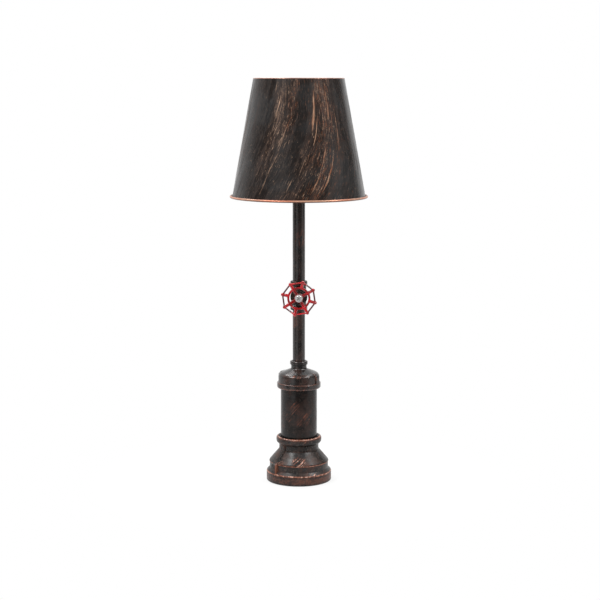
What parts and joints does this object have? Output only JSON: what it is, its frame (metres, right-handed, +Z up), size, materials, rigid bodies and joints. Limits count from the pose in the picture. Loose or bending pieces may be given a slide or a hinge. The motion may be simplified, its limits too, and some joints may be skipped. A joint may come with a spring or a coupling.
{
  "type": "table lamp",
  "caption": "Table lamp of pipe fittings: a ribbed cast foot, wide tube, slim pole with a valve tee whose handwheel turns the switch, and an open cone shade with a rolled rim.",
  "frame": {"origin": "centre of the felt's underside, on the table", "axes": "+Z up along the pole, -Y towards the handwheel, +X to its right seen from the front"},
  "size_m": [0.2102, 0.2102, 0.6199],
  "materials": {
    "charcoal_iron": "rubbed satin",
    "charcoal_paint": "brushed satin",
    "shade_paint": "brushed satin",
    "copper": "satin",
    "wheel_red": "gloss",
    "bright_steel": "satin",
    "brass": "satin",
    "weight_iron": "raw",
    "black_plastic": "satin",
    "white_plastic": "matt",
    "porcelain": "matt",
    "cable_black": "matt",
    "felt": "felt"
  },
  "bodies": {
    "stand": {"felt_pad": "felt", "base_plate": "bright_steel", "base_plate_screws": "bright_steel", "ballast_weight": "weight_iron", "ballast_screws": "bright_steel", "base_reducer": "charcoal_iron", "cord_bush": "black_plastic", "terminal_block": "white_plastic", "terminal_screw": "bright_steel", "body_tube": "charcoal_paint", "upper_reducer": "charcoal_iron", "lower_pole": "charcoal_paint", "valve_tee": "charcoal_iron", "branch_plug": "charcoal_iron", "switch_nut": "bright_steel", "rotary_switch": "black_plastic", "upper_pole": "charcoal_paint", "lower_cable": "cable_black", "upper_cable": "cable_black", "pole_top_bush": "bright_steel", "lampholder_nipple": "brass", "lampholder_cap": "black_plastic", "lampholder_insert": "porcelain", "screw_shell": "brass", "centre_contact": "brass", "lampholder_sleeve": "black_plastic", "lower_shade_ring": "black_plastic", "upper_shade_ring": "black_plastic", "spider_ring": "bright_steel", "spider_arms": "bright_steel", "shade_cone": "shade_paint", "shade_rim": "copper"},
    "valve_wheel": {"switch_spindle": "bright_steel", "handwheel": "wheel_red", "wheel_washer": "bright_steel", "wheel_screw": "bright_steel"}
  },
  "joints": [
    {"name": "wheel_turn", "type": "hinge", "parent": "stand", "child": "valve_wheel", "pos_m": [0, -0.038, 0.2899], "axis": [0, -1, 0], "continuous": true}
  ]
}
